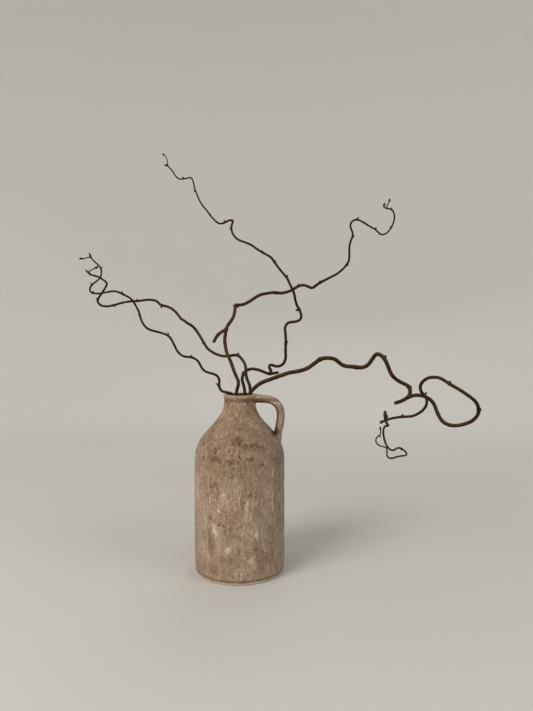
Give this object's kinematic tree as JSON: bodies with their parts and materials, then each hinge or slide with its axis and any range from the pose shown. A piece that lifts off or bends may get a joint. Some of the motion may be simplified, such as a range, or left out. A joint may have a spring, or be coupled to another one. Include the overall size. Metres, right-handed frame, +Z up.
{
  "type": "dried contorted hazel branches in a jug",
  "caption": "Leafless twisting hazel branches with buds and cut stubs, standing in a narrow-necked fired clay jug with a bowed handle.",
  "frame": {"origin": "middle of the jug's flat underside, on the surface it stands on", "axes": "+Z up, +X towards the jug's handle, +Y towards the back; a viewer in front looks along +Y"},
  "size_m": [0.6817, 0.2793, 0.7647],
  "materials": {
    "bark": "satin",
    "fired_clay": "matte"
  },
  "bodies": {
    "root": {"jug": "fired_clay", "branch_low_left": "bark", "branch_left": "bark", "branch_upper_right": "bark", "branch_tall": "bark", "branch_looped": "bark"}
  },
  "joints": []
}
